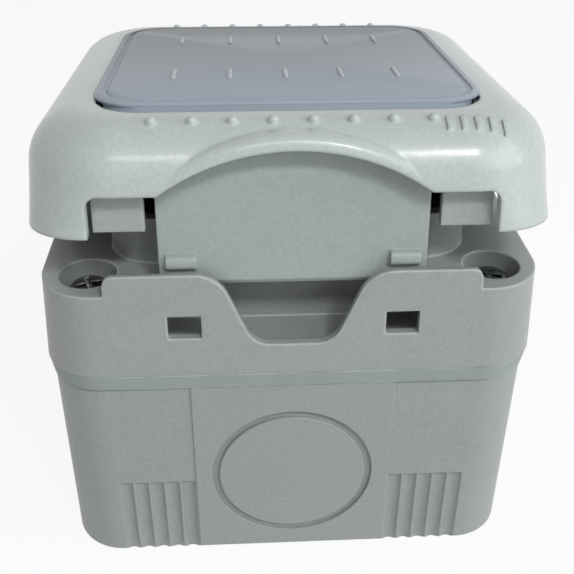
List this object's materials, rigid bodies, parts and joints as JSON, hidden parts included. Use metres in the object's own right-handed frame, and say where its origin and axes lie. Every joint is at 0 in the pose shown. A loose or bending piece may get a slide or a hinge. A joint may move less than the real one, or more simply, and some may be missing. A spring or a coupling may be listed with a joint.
{
  "type": "meter socket enclosure",
  "caption": "Deep square weatherproof surface box for a socket, with a hinged smoked-window lid and a snap latch flap.",
  "frame": {"origin": "centre of the base's back face, on the wall", "axes": "+Z out of the wall towards the lid; -Y is the latch side, +Y the hinge side; +X to the right seen from the latch side with the lid up"},
  "size_m": [0.0844, 0.089, 0.0847],
  "materials": {
    "base_plastic": "fine satin moulded grey",
    "frame_plastic": "satin moulded grey",
    "lid_plastic": "satin moulded pale grey green",
    "flap_plastic": "satin moulded grey",
    "gasket_rubber": "smooth light grey elastomer",
    "washer_rubber": "black elastomer",
    "zinc_steel": "bright zinc plating",
    "pin_steel": "drawn steel rod",
    "brass": "turned brass",
    "plate_plastic": "moulded grey",
    "insert_plastic": "gloss white-grey thermoset",
    "smoked_pane": "smoked violet-grey polycarbonate"
  },
  "bodies": {
    "housing": {"base_box": "base_plastic", "frame_gasket": "gasket_rubber", "front_frame": "frame_plastic", "frame_screws": "zinc_steel", "sealing_washers": "washer_rubber", "threaded_inserts": "brass", "hinge_pins": "pin_steel", "mounting_plate": "plate_plastic", "plate_screws": "zinc_steel", "socket_insert": "insert_plastic", "contact_line": "brass", "contact_neutral": "brass", "contact_earth": "brass", "terminal_screws": "zinc_steel"},
    "lid": {"lid_shell": "lid_plastic", "window_pane": "smoked_pane", "window_seal": "washer_rubber", "lid_liner": "frame_plastic", "liner_screws": "zinc_steel", "lid_seal": "washer_rubber", "flap_pin": "pin_steel"},
    "flap": {"latch_flap": "flap_plastic"}
  },
  "joints": [
    {"name": "lid_hinge", "type": "hinge", "parent": "housing", "child": "lid", "pos_m": [0, 0.0442, 0.0595], "axis": [-1, 0, 0], "range_deg": [-6.8, 100]},
    {"name": "flap_pivot", "type": "hinge", "parent": "lid", "child": "flap", "pos_m": [0, -0.03512, 0.07671], "axis": [-1, 0, 0], "range_deg": [-6, 3], "stiffness_Nm_per_rad": 0.02}
  ]
}
